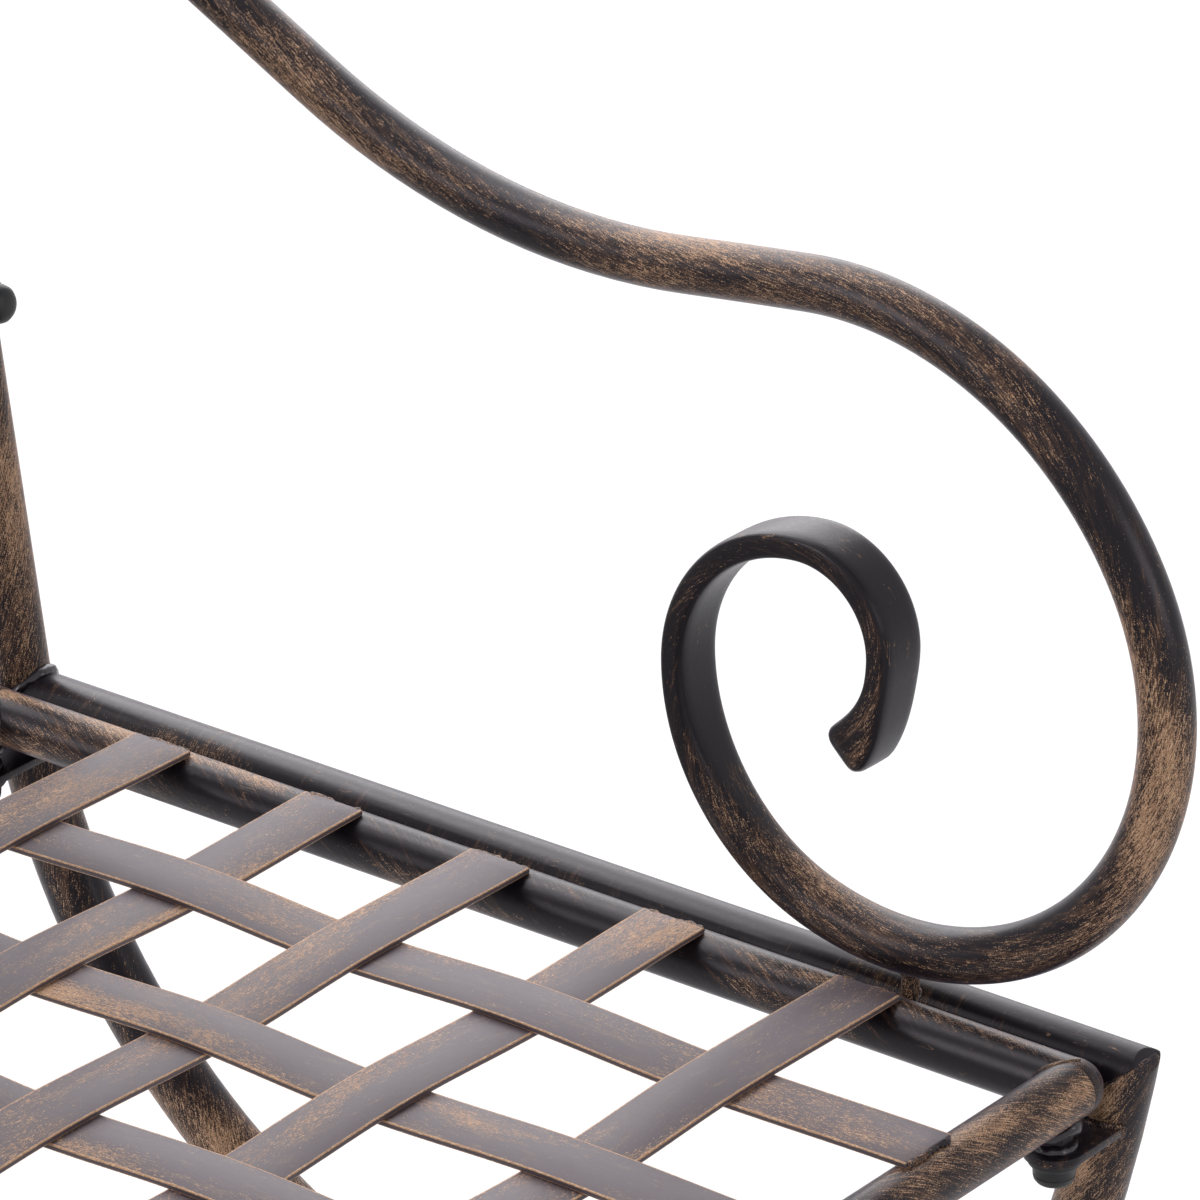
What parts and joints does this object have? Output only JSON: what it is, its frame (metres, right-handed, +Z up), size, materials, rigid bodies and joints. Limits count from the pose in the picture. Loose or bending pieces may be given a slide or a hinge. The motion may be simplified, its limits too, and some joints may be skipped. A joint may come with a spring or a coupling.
{
  "type": "garden armchair",
  "caption": "Garden armchair of bent steel tube with scrolled arms, woven flat-strap seat and arched back, and crossed curved legs.",
  "frame": {"origin": "centre of the bounding box on the floor plane", "axes": "+Z up, -Y towards the front of the chair, +X towards the sitter's left"},
  "size_m": [0.607, 0.5684, 0.9184],
  "materials": {
    "frame_tube": "near-black satin paint, dry-brushed with copper bronze",
    "strap": "brown-grey satin paint, lightly dry-brushed with copper bronze",
    "black_plastic": "matte",
    "fastener": "zinc plated"
  },
  "bodies": {
    "root": {"side_rail_right": "frame_tube", "side_rail_left": "frame_tube", "front_leg_right": "frame_tube", "front_leg_left": "frame_tube", "back_post_right": "frame_tube", "back_post_left": "frame_tube", "lower_leg_right": "frame_tube", "lower_leg_left": "frame_tube", "arm_right": "frame_tube", "arm_left": "frame_tube", "arm_peg_right": "frame_tube", "arm_peg_left": "frame_tube", "front_tabs": "frame_tube", "rear_tabs": "frame_tube", "front_foot_caps": "black_plastic", "rear_foot_caps": "black_plastic", "post_plugs": "black_plastic", "seat_front_rail": "frame_tube", "seat_rear_rail": "frame_tube", "seat_side_rail_right": "frame_tube", "seat_side_rail_left": "frame_tube", "seat_cross_strap_1": "strap", "seat_cross_strap_2": "strap", "seat_cross_strap_3": "strap", "seat_cross_strap_4": "strap", "seat_cross_strap_5": "strap", "seat_long_strap_1": "strap", "seat_long_strap_2": "strap", "seat_long_strap_3": "strap", "seat_long_strap_4": "strap", "seat_long_strap_5": "strap", "seat_long_strap_6": "strap", "seat_nuts": "frame_tube", "seat_bolts": "fastener", "seat_bolt_caps": "black_plastic", "back_arch": "frame_tube", "back_bottom_rail": "frame_tube", "back_stile_right": "frame_tube", "back_stile_left": "frame_tube", "back_tabs": "frame_tube", "back_cross_strap_1": "strap", "back_cross_strap_2": "strap", "back_cross_strap_3": "strap", "back_cross_strap_4": "strap", "back_up_strap_1": "strap", "back_up_strap_2": "strap", "back_up_strap_3": "strap", "back_up_strap_4": "strap", "back_up_strap_5": "strap", "back_bolts": "fastener", "back_nuts": "frame_tube", "back_bolt_caps": "black_plastic", "stretcher": "frame_tube", "stretcher_plugs": "frame_tube", "stretcher_bolts": "fastener", "stretcher_bolt_caps": "black_plastic"}
  },
  "joints": []
}
